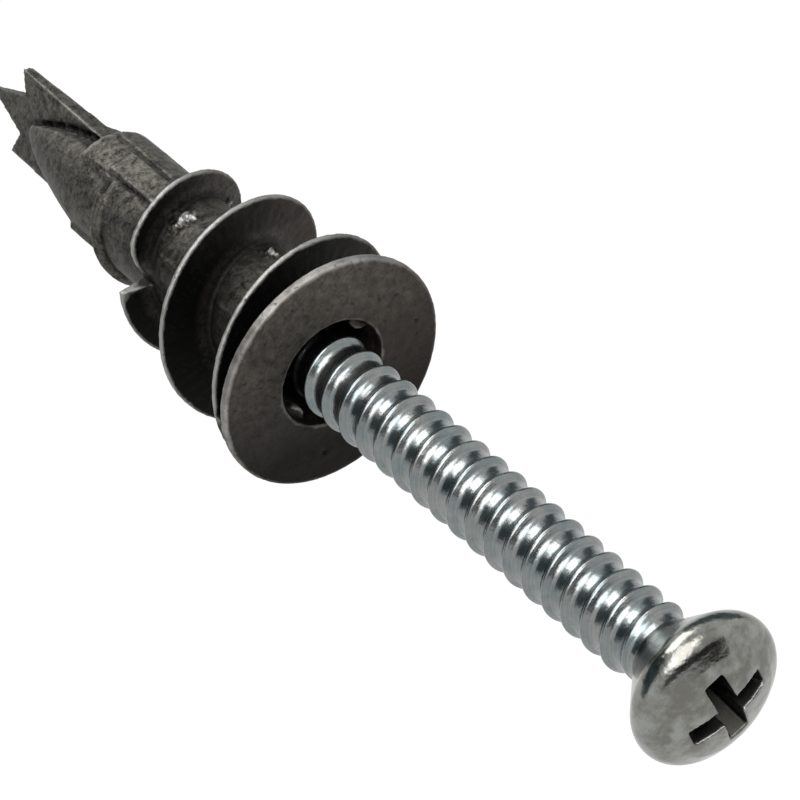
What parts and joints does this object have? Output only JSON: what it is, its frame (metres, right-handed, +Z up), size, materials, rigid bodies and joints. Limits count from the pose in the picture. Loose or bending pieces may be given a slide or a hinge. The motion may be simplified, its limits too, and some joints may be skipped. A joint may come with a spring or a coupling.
{
  "type": "self-drilling drywall anchor with screw",
  "caption": "Self-drilling drywall anchor of cast zinc with a wide wall thread and a spade drill point, its pan-head screw started in the mouth.",
  "frame": {"origin": "centre of the flange's face that bears on the wall", "axes": "+Y along the anchor's axis into the wall, towards the drill point; -Y out of the wall, towards the screw head; +Z up on the wall"},
  "size_m": [0.0124, 0.06, 0.0124],
  "materials": {
    "cast_zinc": "as-cast zinc, dark grey, mottled",
    "plated_steel": "bright zinc plating"
  },
  "bodies": {
    "anchor": {"anchor_body": "cast_zinc"},
    "screw": {"screw": "plated_steel"}
  },
  "joints": [
    {"name": "screw_drive", "type": "slide", "parent": "anchor", "child": "screw", "axis": [0, 1, 0], "range_m": [-0.006, 0.0185]}
  ]
}
